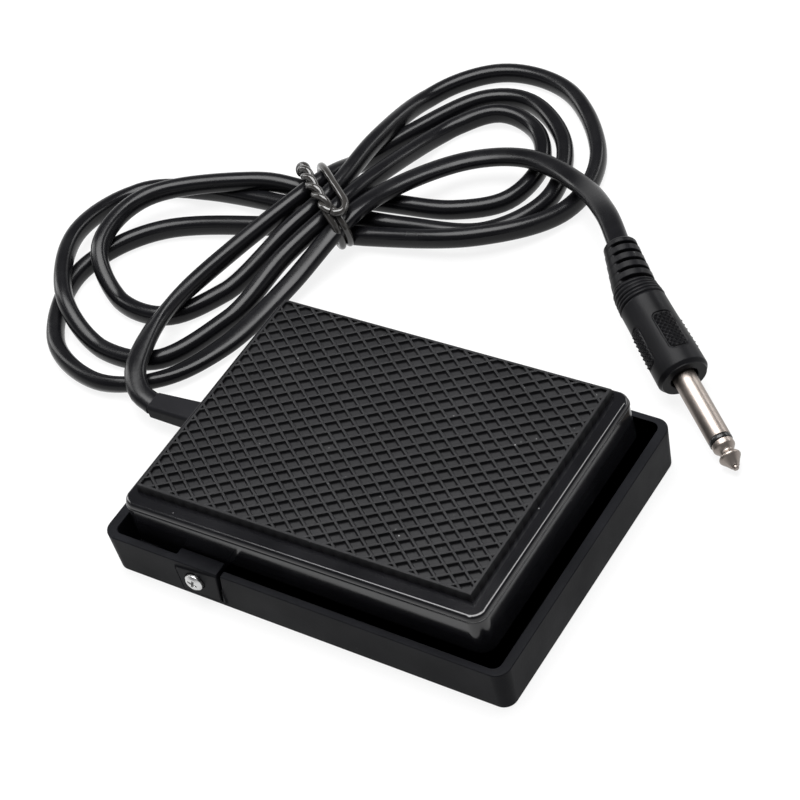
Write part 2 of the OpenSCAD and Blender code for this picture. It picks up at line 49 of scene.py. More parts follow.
# Sizes shared with the CAD model, in millimetres and radians
TREADLE_REAR = Vector((-54.5, 0, 23.1))
TILT = math.radians(1.7)
TREADLE_L, TREADLE_W, TREADLE_R = 107.6, 78.0, 4.0
MAT_L, MAT_W, MAT_T = 99.8, 70.8, 2.4
MAT_MIDDLE = (TREADLE_L / 2 - 0.9, 1.4)
PLUG_START = (19.7, 92.4, 18.2)
PLUG_DIP, PLUG_TURN = math.radians(12), math.radians(-47.7)
BEND_AT, BEND = 16, math.radians(9)
HANDLE_L, PLUG_R, RING_AT, RING_T, METAL_L = 46.0, 3.175, 20.6, 1.3, 30.5
SLEEVE_END = (-78.5, 4, 6.5)


# ---------------------------------------------------------------- camera

def make_camera():
    """Set at the picture's own angle and distance, rolled as it is."""
    data = bpy.data.cameras.new("camera")
    data.sensor_width, data.lens = 36, 116.9
    data.clip_start, data.clip_end = 0.01, 20
    cam = bpy.data.objects.new("camera", data)
    cam.location = (0.31117, -0.32933, 0.4939)
    cam.rotation_euler = (0.7654, 0.18831, 0.54469)
    scene.collection.objects.link(cam)
    scene.camera = cam


# ---------------------------------------------------------------- mesh helpers

def finish_mesh(mesh, sharp):
    mesh.shade_smooth()
    mesh.set_sharp_from_angle(angle=math.radians(sharp))
    mesh.update()


def mesh_object(name, verts, faces, sharp=35):
    """A mesh from millimetre points, with its faces turned outward."""
    mesh = bpy.data.meshes.new(name)
    mesh.from_pydata([Vector(v) * MM for v in verts], [], faces)
    bm = bmesh.new()
    bm.from_mesh(mesh)
    bmesh.ops.recalc_face_normals(bm, faces=bm.faces)
    bm.to_mesh(mesh)
    bm.free()
    finish_mesh(mesh, sharp)
    obj = bpy.data.objects.new(name, mesh)
    scene.collection.objects.link(obj)
    return obj


def dress(obj, body, slot, material, *nodes):
    """The piece rides a body, stands for CAD nodes, and wears a material."""
    obj.data.materials.clear()
    obj.data.materials.append(material)
    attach(obj, body)
    if nodes:
        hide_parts(*nodes)
    return obj


def with_modifiers(obj):
    """Applies the object's modifiers."""
    graph = bpy.context.evaluated_depsgraph_get()
    mesh = bpy.data.meshes.new_from_object(obj.evaluated_get(graph))
    obj.modifiers.clear()
    obj.data = mesh
    return obj


def softened(node, name, width, segments=2, sharp=38):
    """A CAD node's shape with its hard edges rounded by width millimetres."""
    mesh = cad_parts[node].data.copy()
    obj = bpy.data.objects.new(name, mesh)
    scene.collection.objects.link(obj)
    bm = bmesh.new()
    bm.from_mesh(mesh)
    bmesh.ops.remove_doubles(bm, verts=bm.verts, dist=3e-6)
    bmesh.ops.dissolve_limit(bm, angle_limit=math.radians(1.2), verts=bm.verts, edges=bm.edges)
    bm.to_mesh(mesh)
    bm.free()
    bevel = obj.modifiers.new("bevel", "BEVEL")
    bevel.width, bevel.segments = width * MM, segments
    bevel.limit_method, bevel.angle_limit = "ANGLE", math.radians(sharp)
    bevel.use_clamp_overlap = False
    with_modifiers(obj)
    finish_mesh(obj.data, sharp)
    obj.modifiers.new("weigh", "WEIGHTED_NORMAL").keep_sharp = True
    return with_modifiers(obj)


def joined(name, first, *others):
    """Joins meshes into the first."""
    bm = bmesh.new()
    for obj in (first, *others):
        bm.from_mesh(obj.data)
    bm.to_mesh(first.data)
    bm.free()
    for obj in others:
        bpy.data.objects.remove(obj)
    first.name = name
    return first


def sweep(name, centres, section, up=(0, 0, 1), looped=False, roll=None, sharp=50):
    """A tube through centres. section(i) gives (side, up) offsets; roll(i) turns them."""
    count = len(centres)
    verts, faces, sides = [], [], 0
    for i, c in enumerate(centres):
        ahead = centres[(i + 1) % count] if looped or i < count - 1 else c
        behind = centres[i - 1] if looped or i > 0 else c
        along = (Vector(ahead) - Vector(behind)).normalized()
        side = along.cross(Vector(up)).normalized()
        over = side.cross(along)
        turn = roll(i) if roll else 0
        ring = section(i)
        sides = len(ring)
        for a, b in ring:
            x = a * math.cos(turn) - b * math.sin(turn)
            y = a * math.sin(turn) + b * math.cos(turn)
            verts.append(Vector(c) + side * x + over * y)
    spans = count if looped else count - 1
    for i in range(spans):
        j = (i + 1) % count
        for k in range(sides):
            n = (k + 1) % sides
            faces.append((i * sides + k, i * sides + n, j * sides + n, j * sides + k))
    if not looped:
        faces.append(tuple(range(sides - 1, -1, -1)))
        faces.append(tuple((count - 1) * sides + k for k in range(sides)))
    return mesh_object(name, verts, faces, sharp)


def circle(radius, sides=16):
    """Points round a circle, as (side, up) offsets."""
    return [(radius * math.cos(2 * math.pi * k / sides),
             radius * math.sin(2 * math.pi * k / sides)) for k in range(sides)]


def oval(width, height, sides=20, power=2.5):
    """Points round a flattened oval, as (side, up) offsets."""
    ring = []
    for k in range(sides):
        c, s = math.cos(2 * math.pi * k / sides), math.sin(2 * math.pi * k / sides)
        ring.append((width / 2 * math.copysign(abs(c) ** (2 / power), c),
                     height / 2 * math.copysign(abs(s) ** (2 / power), s)))
    return ring


def catmull(points, per_span):
    """A smooth line through the points, ending on both ends."""
    p = [Vector(q) for q in points]
    p = [2 * p[0] - p[1]] + p + [2 * p[-1] - p[-2]]
    out = []
    for i in range(1, len(p) - 2):
        a, b, c, d = p[i - 1:i + 3]
        for k in range(per_span):
            t = k / per_span
            out.append(0.5 * (2 * b + (c - a) * t + (2 * a - 5 * b + 4 * c - d) * t * t
                              + (3 * b - a - 3 * c + d) * t ** 3))
    out.append(p[-2])
    return out


def evenly(points, step):
    """The same line with points a step apart."""
    lengths = [0.0]
    for a, b in zip(points, points[1:]):
        lengths.append(lengths[-1] + (b - a).length)
    count = max(2, round(lengths[-1] / step))
    out, k = [], 0
    for i in range(count + 1):
        want = lengths[-1] * i / count
        while k < len(points) - 2 and lengths[k + 1] < want:
            k += 1
        span = lengths[k + 1] - lengths[k]
        out.append(points[k].lerp(points[k + 1], (want - lengths[k]) / span if span else 0))
    return out


def smooth_step(value, low, high):
    """Eases from 0 at low to 1 at high."""
    t = min(max((value - low) / (high - low), 0), 1)
    return t * t * (3 - 2 * t)


# ---------------------------------------------------------------- materials

MIX_A, MIX_B, MIX_RESULT = 6, 7, 2  # sockets of a Mix node that are in use for colours


def new_material(name):
    mat = bpy.data.materials.new(name)
    mat.use_nodes = True
    tree = mat.node_tree
    shader = tree.nodes["Principled BSDF"]
    place = tree.nodes.new("ShaderNodeTexCoord").outputs["Object"]
    return mat, tree, shader, place


def noise(tree, place, scale, detail=2.0, stretch=None):
    if stretch:
        mapping = tree.nodes.new("ShaderNodeMapping")
        mapping.inputs["Scale"].default_value = stretch
        tree.links.new(place, mapping.inputs["Vector"])
        place = mapping.outputs["Vector"]
    node = tree.nodes.new("ShaderNodeTexNoise")
    node.inputs["Scale"].default_value = scale
    node.inputs["Detail"].default_value = detail
    tree.links.new(place, node.inputs["Vector"])
    return node.outputs["Fac"]


def ramp(tree, value, stops, colours):
    node = tree.nodes.new("ShaderNodeValToRGB")
    for i, (stop, colour) in enumerate(zip(stops, colours)):
        element = node.color_ramp.elements[i] if i < 2 else node.color_ramp.elements.new(stop)
        element.position, element.color = stop, (*colour, 1)
    tree.links.new(value, node.inputs["Fac"])
    return node.outputs["Color"]


def spread(tree, value, low, high, out_low, out_high):
    """Maps low..high onto out_low..out_high."""
    node = tree.nodes.new("ShaderNodeMapRange")
    ends = {"From Min": low, "From Max": high, "To Min": out_low, "To Max": out_high}
    for key, number in ends.items():
        node.inputs[key].default_value = number
    tree.links.new(value, node.inputs["Value"])
    return node.outputs["Result"]


def bump(tree, shader, value, strength, depth):
    node = tree.nodes.new("ShaderNodeBump")
    node.inputs["Strength"].default_value = strength
    node.inputs["Distance"].default_value = depth
    tree.links.new(value, node.inputs["Height"])
    tree.links.new(node.outputs["Normal"], shader.inputs["Normal"])


def specks(tree, place, colour, scale, size, speck_colour):
    """Scattered specks of dust over a colour."""
    cells = tree.nodes.new("ShaderNodeTexVoronoi")
    cells.inputs["Scale"].default_value = scale
    tree.links.new(place, cells.inputs["Vector"])
    mask = spread(tree, cells.outputs["Distance"], size, size * 0.5, 0, 1)
    rare = spread(tree, noise(tree, place, scale * 0.37), 0.6, 0.64, 0, 1)
    both = tree.nodes.new("ShaderNodeMath")
    both.operation = "MULTIPLY"
    tree.links.new(mask, both.inputs[0])
    tree.links.new(rare, both.inputs[1])
    mix = tree.nodes.new("ShaderNodeMix")
    mix.data_type = "RGBA"
    tree.links.new(both.outputs[0], mix.inputs["Factor"])
    tree.links.new(colour, mix.inputs[MIX_A])
    mix.inputs[MIX_B].default_value = (*speck_colour, 1)
    return mix.outputs[MIX_RESULT]


def plastic(name, dark, light, rough, grain, depth, shine=0.3, dust=True):
    """Moulded plastic: mottled colour, uneven gloss, a fine grain, and some dust."""
    mat, tree, shader, place = new_material(name)
    shader.inputs["Specular IOR Level"].default_value = shine
    colour = ramp(tree, noise(tree, place, 90, 4), (0.3, 0.7), (dark, light))
    if dust:
        colour = specks(tree, place, colour, 330, 0.09, (0.16, 0.16, 0.16))
    tree.links.new(colour, shader.inputs["Base Color"])
    smear = noise(tree, place, 55, 3)
    tree.links.new(spread(tree, smear, 0.3, 0.7, *rough), shader.inputs["Roughness"])
    bump(tree, shader, noise(tree, place, grain, 3), 0.5, depth * MM)
    return mat


def tray_plastic():
    return plastic("tray_plastic", (0.004, 0.0042, 0.0052), (0.0068, 0.007, 0.0085),
                   rough=(0.4, 0.52), grain=1500, depth=0.06, shine=0.035)


def treadle_plastic():
    return plastic("treadle_plastic", (0.003, 0.003, 0.0037), (0.005, 0.005, 0.006),
                   rough=(0.09, 0.15), grain=700, depth=0.004, shine=0.45)


def handle_plastic():
    return plastic("handle_plastic", (0.0035, 0.0035, 0.004), (0.006, 0.006, 0.007),
                   rough=(0.32, 0.44), grain=1500, depth=0.02, shine=0.08)


def switch_plastic():
    return plastic("switch_plastic", (0.02, 0.03, 0.1), (0.03, 0.045, 0.14),
                   rough=(0.4, 0.55), grain=1200, depth=0.02)


def plunger_plastic():
    return plastic("plunger_plastic", (0.36, 0.02, 0.015), (0.46, 0.03, 0.02),
                   rough=(0.35, 0.5), grain=1200, depth=0.01)


def insulator_plastic():
    return plastic("insulator_plastic", (0.006, 0.006, 0.006), (0.01, 0.01, 0.01),
                   rough=(0.25, 0.35), grain=900, depth=0.01, shine=0.3, dust=False)


def rubber(name, dark, light, rough, grain, depth, shine=0.25):
    """Rubber: mottled, dull, slightly rough, with specks of dust."""
    mat, tree, shader, place = new_material(name)
    shader.inputs["Specular IOR Level"].default_value = shine
    colour = ramp(tree, noise(tree, place, 60, 5), (0.3, 0.72), (dark, light))
    colour = specks(tree, place, colour, 420, 0.1, (0.22, 0.22, 0.22))
    tree.links.new(colour, shader.inputs["Base Color"])
    smear = noise(tree, place, 140, 4)
    tree.links.new(spread(tree, smear, 0.3, 0.7, *rough), shader.inputs["Roughness"])
    bump(tree, shader, noise(tree, place, grain, 4), 0.6, depth * MM)
    return mat


def mat_rubber():
    return rubber("mat_rubber", (0.007, 0.007, 0.0078), (0.011, 0.011, 0.012),
                  rough=(0.36, 0.48), grain=1300, depth=0.03, shine=0.15)


def sheet_rubber():
    return rubber("sheet_rubber", (0.014, 0.014, 0.014), (0.022, 0.022, 0.022),
                  rough=(0.6, 0.75), grain=900, depth=0.08)


def sleeve_rubber():
    return rubber("sleeve_rubber", (0.005, 0.005, 0.006), (0.009, 0.009, 0.0105),
                  rough=(0.42, 0.55), grain=1500, depth=0.04, shine=0.06)


def jacket(name, dark, light, rough, shine=0.4):
    """Extruded cord jacket: glossy, with faint waviness."""
    mat, tree, shader, place = new_material(name)
    shader.inputs["Specular IOR Level"].default_value = shine
    colour = ramp(tree, noise(tree, place, 35, 3), (0.3, 0.7), (dark, light))
    tree.links.new(colour, shader.inputs["Base Color"])
    smear = noise(tree, place, 120, 3)
    tree.links.new(spread(tree, smear, 0.3, 0.7, *rough), shader.inputs["Roughness"])
    bump(tree, shader, noise(tree, place, 420, 2), 0.35, 0.03 * MM)
    return mat


def cord_jacket():
    return jacket("cord_jacket", (0.0028, 0.0028, 0.0034), (0.0045, 0.0045, 0.0054),
                  rough=(0.2, 0.3), shine=0.2)


def brown_wire():
    return jacket("brown_wire", (0.12, 0.05, 0.02), (0.17, 0.075, 0.03), rough=(0.3, 0.4))


def blue_wire():
    return jacket("blue_wire", (0.02, 0.07, 0.28), (0.03, 0.1, 0.36), rough=(0.3, 0.4))


def tie_plastic():
    return jacket("tie_plastic", (0.01, 0.0095, 0.009), (0.03, 0.028, 0.026),
                  rough=(0.1, 0.2), shine=0.6)


def metal(name, dark, light, rough, stretch, depth):
    """Turned or plated metal with fine tool lines."""
    mat, tree, shader, place = new_material(name)
    shader.inputs["Metallic"].default_value = 1
    colour = ramp(tree, noise(tree, place, 160, 5), (0.3, 0.72), (dark, light))
    tree.links.new(colour, shader.inputs["Base Color"])
    lines = noise(tree, place, 900, 4, stretch)
    tree.links.new(spread(tree, lines, 0.3, 0.7, *rough), shader.inputs["Roughness"])
    bump(tree, shader, lines, 0.25, depth * MM)
    return mat


def plug_nickel():
    return metal("plug_nickel", (0.25, 0.219, 0.198), (0.29, 0.255, 0.231),
                 rough=(0.38, 0.43), stretch=(1, 1, 1), depth=0.0)


def zinc_screw():
    return metal("zinc_screw", (0.5, 0.5, 0.5), (0.68, 0.68, 0.67),
                 rough=(0.25, 0.4), stretch=(1, 1, 1), depth=0.01)


def spring_steel():
    return metal("spring_steel", (0.42, 0.42, 0.43), (0.56, 0.56, 0.57),
                 rough=(0.28, 0.42), stretch=(1, 1, 2), depth=0.006)


def bush_brass():
    return metal("bush_brass", (0.6, 0.42, 0.17), (0.74, 0.55, 0.25),
                 rough=(0.25, 0.4), stretch=(1, 2, 1), depth=0.006)


# ---------------------------------------------------------------- cord

CORD_W, CORD_T, CORD_DIAMETER = 5.6, 5.0, 5.6  # the flat section round the turns
TAIL_W, TAIL_T = 6.2, 4.0                      # the same near the plug
CORD_STEP = 2.0
FLAT_UNTIL, ON_EDGE_FROM = 14, 60           # millimetres from the strain relief
TAIL_ROLLS_FROM, TAIL_FLAT_FROM = 235, 165  # millimetres from the plug

# The route, in millimetres: heights of a run on the table, over another one, and in the tie
LOW, OVER, TIED_LOW, TIED_TOP = 2.8, 8.4, 5, 10.6
LEAD_OUT = [SLEEVE_END, (-85.5, 6.5, 7.4), (-91.5, 15, OVER), (-95, 34, OVER), (-91, 60, OVER),
            (-80, 93, TIED_TOP)]
TURN_1 = [(-77, 112, 4), (-70, 130, LOW), (-58, 148, LOW), (-42, 151, LOW), (-24, 137, 3.5),
          (-18, 116, LOW), (-29, 98, LOW), (-53, 92, LOW), (-81, 87, TIED_LOW),
          (-118, 85, LOW), (-138, 76, LOW), (-141, 52, 7.2), (-128, 29, 8), (-109, 19, LOW),
          (-90, 22, LOW), (-80, 43, LOW), (-75, 65, 8), (-69, 86, TIED_TOP)]
TURN_2 = [(-67, 103, 8.6), (-62, 131, LOW), (-50, 143, 4), (-36, 141, LOW), (-27, 128, LOW),
          (-29, 112, LOW), (-42, 103, LOW), (-60, 99, 3.2), (-82, 94, TIED_LOW),
          (-101, 89, 8.2), (-128, 73, OVER), (-130, 50, 8.2), (-115, 37, LOW), (-98, 37, LOW),
          (-87, 52, LOW), (-79, 74, 9), (-74, 92, 10.8)]
TURN_3 = [(-75, 117, 8.8), (-74, 144, LOW), (-58, 161, LOW), (-34, 159, LOW), (-13, 137, LOW),
          (-11, 113, 3.2), (-28, 93, 6), (-58, 84, 4.2), (-93, 77, 3.6),
          (-122, 65, LOW), (-134, 42, LOW), (-124, 17, LOW), (-103, 8, LOW), (-85, 16, LOW),
          (-75, 34, LOW), (-70, 58, 4.4), (-64, 82, TIED_TOP)]
TAIL = [(-59, 100, 9), (-46, 118, 7.4), (-28, 124, 8.6), (-8, 118, 10.4), (8.4, 104.6, 16.4),
        PLUG_START]


def cord_line():
    """The cord's middle line, never lower than a run on the table."""
    line = evenly(catmull(LEAD_OUT + TURN_1 + TURN_2 + TURN_3 + TAIL, 12), CORD_STEP)
    for p in line:
        p.z = max(p.z, LOW)
    return line


def make_cord(line):
    """The flat cord lies flat at both ends and stands on edge round the turns."""
    total = CORD_STEP * (len(line) - 1)

    def roll(i):
        s = CORD_STEP * i
        on_edge = smooth_step(s, FLAT_UNTIL, ON_EDGE_FROM)
        on_edge *= smooth_step(total - s, TAIL_FLAT_FROM, TAIL_ROLLS_FROM)
        return math.pi / 2 * on_edge

    def section(i):
        flat = 1 - roll(i) / (math.pi / 2)
        return oval(CORD_W + (TAIL_W - CORD_W) * flat, CORD_T + (TAIL_T - CORD_T) * flat)

    return sweep("cord_jacket", line, section, roll=roll, sharp=60)


# ---------------------------------------------------------------- twist tie

TIE_MIDDLE, TIE_TURN, TIE_R = (-77, 90), math.radians(-37.6), 1.1
TWIST_R, TWIST_APART, TWIST_PER_MM, TWIST_STEP = 1.05, 0.95, 0.62, 0.4

# Points of the tie, each (across the bundle, along it, height)
TIE_LOOP = [
    (13.4, -2.4, 15.4), (16.4, -1.4, 15.9), (16.8, 1.2, 15.8), (13.6, 3.1, 15.6),
    (8.2, 3.2, 15.4), (3.8, 3.1, 15.3), (-3.5, 3.1, 14.6), (-8.6, 3.1, 12.4), (-11.2, 3, 8.5),
    (-10.6, 2.6, 3.7), (-7, 2, 1.25), (3, 1.4, 1.2), (12.4, 1.0, 1.25), (17.2, 0.8, 3.8),
    (18.9, 0.6, 8), (18.2, 0, 12), (15.2, -0.6, 14.6), (10.4, -1.6, 14.9), (4, -2.2, 14.8),
    (-2.5, -2.2, 14.4), (-8.4, -2, 12.3), (-11.2, -1.8, 8.5), (-10.6, -1.6, 3.7),
    (-7, -1.4, 1.25), (3, -1.3, 1.2), (12.4, -1.5, 1.25), (17.2, -1.6, 3.8), (18.9, -1.8, 8),
    (18.2, -2.3, 12), (15.6, -2.9, 14.9), (13.2, -3, 15.8)]
TIE_ENDS = [
    (15.2, -2.2, 15.6), (13, -2.6, 16.9), (8.5, -2.9, 17.2), (3.5, -3, 17.1), (-2, -2.7, 16.7),
    (-6.6, -2.4, 15.4), (-9.8, -2.2, 13), (-11.6, -2.1, 10.2)]


def tie_frame(t, v, z):
    """A point of the tie: t across the bundle, v along it."""
    c, s = math.cos(TIE_TURN), math.sin(TIE_TURN)
    return Vector((TIE_MIDDLE[0] + t * c - v * s, TIE_MIDDLE[1] + t * s + v * c, z))


def make_tie():
    """Two turns of coated wire round the bundle, with the ends twisted and bent back over it."""
    wire = catmull([tie_frame(*p) for p in TIE_LOOP], 8)
    along = (-math.sin(TIE_TURN), math.cos(TIE_TURN), 0)
    never_along_wire = (0.61, 0.1, 0.3)
    parts = [sweep("tie_loop", wire, lambda i: circle(TIE_R, 12), up=never_along_wire)]
    spine = evenly(catmull([tie_frame(*p) for p in TIE_ENDS], 10), TWIST_STEP)
    for side in (0, math.pi):
        strand = []
        for i, p in enumerate(spine):
            ahead = spine[min(i + 1, len(spine) - 1)] - spine[max(i - 1, 0)]
            across = ahead.cross(Vector(along)).normalized()
            third = across.cross(ahead).normalized()
            angle = side + TWIST_PER_MM * TWIST_STEP * i
            strand.append(p + TWIST_APART * (across * math.cos(angle) + third * math.sin(angle)))
        last = len(strand) - 1

        def tapered(i):
            return circle(TWIST_R * (1 - 0.6 * smooth_step(i, last - 3, last)), 12)

        parts.append(sweep("tie_end", strand, tapered, up=along))
    return joined("tie_wire", *parts)


# ---------------------------------------------------------------- plug

RELIEF_FRAME = (Matrix.Translation(Vector(PLUG_START))
                @ Matrix.Rotation(PLUG_TURN, 4, "Z") @ Matrix.Rotation(PLUG_DIP, 4, "Y")
                @ Matrix.Translation((BEND_AT, 0, 0)))
PLUG_FRAME = RELIEF_FRAME @ Matrix.Rotation(BEND, 4, "Z") @ Matrix.Translation((-BEND_AT, 0, 0))


def lathe(name, profile, sides=64, sharp=35):
    """Turns [(along, radius), ...] about the plug's axis."""
    verts, faces = [], []
    for along, radius in profile:
        for k in range(sides):
            a = 2 * math.pi * k / sides
            verts.append(PLUG_FRAME @ Vector((along, -radius * math.sin(a), radius * math.cos(a))))
    for i in range(len(profile) - 1):
        for k in range(sides):
            n = (k + 1) % sides
            faces.append((i * sides + k, i * sides + n, (i + 1) * sides + n, (i + 1) * sides + k))
    faces.append(tuple(range(sides)))
    faces.append(tuple((len(profile) - 1) * sides + k for k in range(sides)))
    return mesh_object(name, verts, faces, sharp)


# The handle along its axis: the bend relief's ribs, a band of fine ribs, then the body
RIB_PITCH, RIBS, RIB_R, RIB_STEP, RIB_FLARE = 3.0, 5, 4.6, 0.3, 0.05
GROOVE_OPENS, GROOVE_CLOSES = (1.75, 2.05), (2.75, 3.0)
GROOVE_FAINT, GROOVE_DEPTH = 0.06, 1.25
FINE_PITCH, FINE_RIBS, FINE_R, FINE_STEP, FINE_H = 1.1, 5, 5.75, 0.11, 0.36
BODY_FROM, BODY_R = 20.6, (6.5, 7.1)
PAD_AT, PAD_L, PAD_W, PAD_CORNER, PAD_TURN = 34.2, 12.0, 5.4, 1.4, math.radians(74)
PAD_RIM = 0.32
SPINE_TURN, SPINE_HALF = math.radians(66), math.radians(24)
KNURL_PITCH, KNURL_H, KNURL_SINK = 1.5, 0.55, 0.12
WELL_MOUTH, WELL_R, WELL_DEPTH, CORD_HOLE_R = 4.1, 3.9, 2.4, 2.6
LINER_R = 2.2


def pad_height(t, angle, radius):
    """How far the gripping pads change the handle's radius at a point."""
    quarter = math.pi / 2
    off = (angle - PAD_TURN + quarter / 2) % quarter - quarter / 2
    x, y = t - PAD_AT, off * radius
    qx, qy = abs(x) - PAD_L / 2 + PAD_CORNER, abs(y) - PAD_W / 2 + PAD_CORNER
    edge = math.hypot(max(qx, 0), max(qy, 0)) + min(max(qx, qy), 0) - PAD_CORNER
    rim = -PAD_RIM * (1 - smooth_step(abs(edge), 0.12, 0.38))
    if edge > 0:
        return rim
    u, v = (x + y) / KNURL_PITCH, (x - y) / KNURL_PITCH
    peak = 2 * max(abs((u % 1) - 0.5), abs((v % 1) - 0.5))
    inside = smooth_step(-edge, 0.1, 0.5)
    return rim * (1 - inside) + inside * (KNURL_H * (1 - peak) - KNURL_SINK)


def handle_radius(t, angle):
    """The handle's radius at t along it and an angle round it. The grooves leave two spines."""
    if t < RIBS * RIB_PITCH:
        i, inside = divmod(t, RIB_PITCH)
        top = RIB_R + RIB_STEP * i + RIB_FLARE * inside
        groove = smooth_step(inside, *GROOVE_OPENS) * (1 - smooth_step(inside, *GROOVE_CLOSES))
        half_turn = math.pi
        off = abs((angle - SPINE_TURN + half_turn / 2) % half_turn - half_turn / 2)
        open_side = smooth_step(off, SPINE_HALF, SPINE_HALF * 1.7)
        start = 0.4 * (1 - smooth_step(t, 0, 0.6))
        return top - groove * (GROOVE_FAINT + GROOVE_DEPTH * open_side) - start
    fine = t - RIBS * RIB_PITCH
    if fine < FINE_RIBS * FINE_PITCH:
        i, inside = divmod(fine, FINE_PITCH)
        dip = math.sin(math.pi * inside / FINE_PITCH) ** 0.7
        return FINE_R + FINE_STEP * (i + inside / FINE_PITCH) + FINE_H * dip
    radius = BODY_R[0] + (BODY_R[1] - BODY_R[0]) * smooth_step(t, BODY_FROM, HANDLE_L)
    radius -= 0.35 * (1 - smooth_step(t, BODY_FROM - 0.2, BODY_FROM + 0.5))
    end = smooth_step(t, HANDLE_L - 1.3, HANDLE_L) * 0.8
    return radius - end + pad_height(t, angle, radius)


def make_handle():
    """Rows of points along the handle, closed by the well at the plug and a hole at the cord."""
    sides, step = 320, 0.15
    rows = round(HANDLE_L / step)
    verts, faces = [], []
    for i in range(rows + 1):
        t = i * step
        for k in range(sides):
            a = 2 * math.pi * k / sides
            r = handle_radius(min(t, HANDLE_L - 0.01), a)
            verts.append((t, -r * math.sin(a), r * math.cos(a)))
    well = [(HANDLE_L, WELL_MOUTH), (HANDLE_L - 0.2, WELL_R), (HANDLE_L - WELL_DEPTH, WELL_R),
            (HANDLE_L - WELL_DEPTH, PLUG_R - 0.3)]
    mouth = [(0, CORD_HOLE_R)]
    for along, radius in well + mouth:
        for k in range(sides):
            a = 2 * math.pi * k / sides
            verts.append((along, -radius * math.sin(a), radius * math.cos(a)))

    def band(i, j):
        for k in range(sides):
            n = (k + 1) % sides
            faces.append((i * sides + k, i * sides + n, j * sides + n, j * sides + k))

    for i in range(rows + len(well)):
        band(i, i + 1)
    band(rows + len(well) + 1, 0)

    def bent(x, y, z):
        turn = BEND * smooth_step(x, BEND_AT - 2.5, BEND_AT + 3)
        return RELIEF_FRAME @ Matrix.Rotation(turn, 4, "Z") @ Vector((x - BEND_AT, y, z))

    return mesh_object("plug_handle_moulding", [bent(*v) for v in verts], faces, 32)


def make_plug_metal():
    """The sleeve, the ring and the tip, each turned about the plug's axis."""
    end = HANDLE_L + RING_AT
    barrel = lathe("plug_barrel", [
        (HANDLE_L - 3, PLUG_R), (end - 0.25, PLUG_R), (end - 0.07, PLUG_R - 0.07),
        (end, PLUG_R - 0.25), (end, LINER_R)])
    ring = lathe("plug_ring", [
        (end - 0.2, LINER_R), (end, PLUG_R - 0.25), (end + 0.05, PLUG_R - 0.12),
        (end + 0.25, PLUG_R - 0.02), (end + RING_T - 0.25, PLUG_R - 0.02),
        (end + RING_T - 0.05, PLUG_R - 0.12), (end + RING_T, 2.4)])
    a = end + RING_T
    tip_end = HANDLE_L + METAL_L
    tip = lathe("plug_tip_metal", [
        (a - 0.1, 2), (a, 2.85), (a + 0.12, 2.98), (a + 1.35, 3.0), (a + 1.55, 2.94),
        (a + 1.9, 2.7), (a + 2.4, 2.3), (a + 2.9, 2.02), (a + 3.2, 1.95), (a + 3.4, 2.02),
        (a + 3.8, 2.4), (a + 4.2, 2.78), (a + 4.45, 2.93), (a + 4.75, 2.96), (a + 5.0, 2.88),
        (a + 5.3, 2.66), (a + 6.3, 1.98),
        (tip_end - 1.2, 1.32), (tip_end - 1.0, 1.24), (tip_end - 0.95, 0.86), (tip_end - 0.4, 0.84),
        (tip_end - 0.12, 0.66), (tip_end, 0.3)])
    return barrel, ring, tip


# ---------------------------------------------------------------- mat

CELL_X, CELL_Y, POCKET = 6.0, 4.2, 1.0
EDGE_STRIP = 0.7
SCALLOP, SCALLOP_DEPTH, SCALLOP_BELOW = 3.5, 0.32, -1.5


def treadle_matrix():
    """From the treadle's rear top edge, tilted as it is at rest, to the scene."""
    return Matrix.Translation(TREADLE_REAR) @ Matrix.Rotation(-TILT, 4, "Y")


def cut_to(bm, half_x, half_y):
    """Cuts the sheet to a rectangle."""
    for axis, half in ((0, half_x), (1, half_y)):
        for sign in (1, -1):
            at, normal = Vector((0, 0, 0)), Vector((0, 0, 0))
            at[axis], normal[axis] = sign * half, sign
            bmesh.ops.bisect_plane(bm, geom=bm.verts[:] + bm.edges[:] + bm.faces[:], dist=0.0005,
                                   plane_co=at, plane_no=normal, clear_outer=True)


def grow_edge(bm, move):
    """Adds a strip of faces along the open edge, each new point moved by move."""
    rim = [e for e in bm.edges if e.is_boundary]
    strip = bmesh.ops.extrude_edge_only(bm, edges=rim)
    for v in strip["geom"]:
        if isinstance(v, bmesh.types.BMVert):
            v.co = move(v.co)


